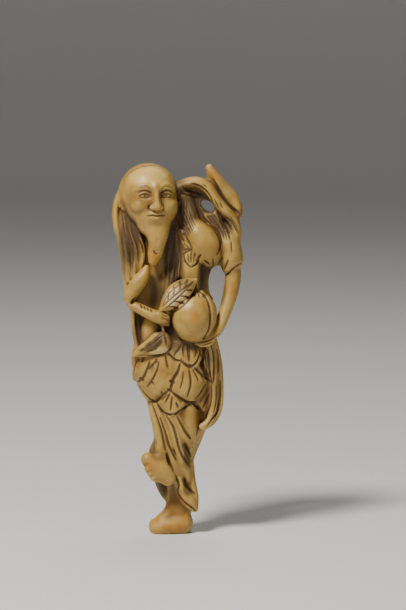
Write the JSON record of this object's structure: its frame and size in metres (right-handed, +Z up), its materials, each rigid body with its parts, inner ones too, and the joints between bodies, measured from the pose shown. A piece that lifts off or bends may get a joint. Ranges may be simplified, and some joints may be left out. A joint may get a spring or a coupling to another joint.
{
  "type": "carved figure netsuke",
  "caption": "Tall slender ivory netsuke of a bald, bearded hermit in a leaf skirt who hugs a large peach and balances with a foot drawn up.",
  "frame": {"origin": "on the ground under the middle of the figure's bounding box", "axes": "+Z up along the figure's height, -Y is the way the figure faces, +X towards the arm that holds the peach from below"},
  "size_m": [0.0328, 0.0204, 0.0932],
  "materials": {
    "ivory": "old polished ivory, honey coloured on the high parts, with dark brown stain in the hair, the hollows and the engraved lines"
  },
  "bodies": {
    "root": {"carved_figure": "ivory"}
  },
  "joints": []
}
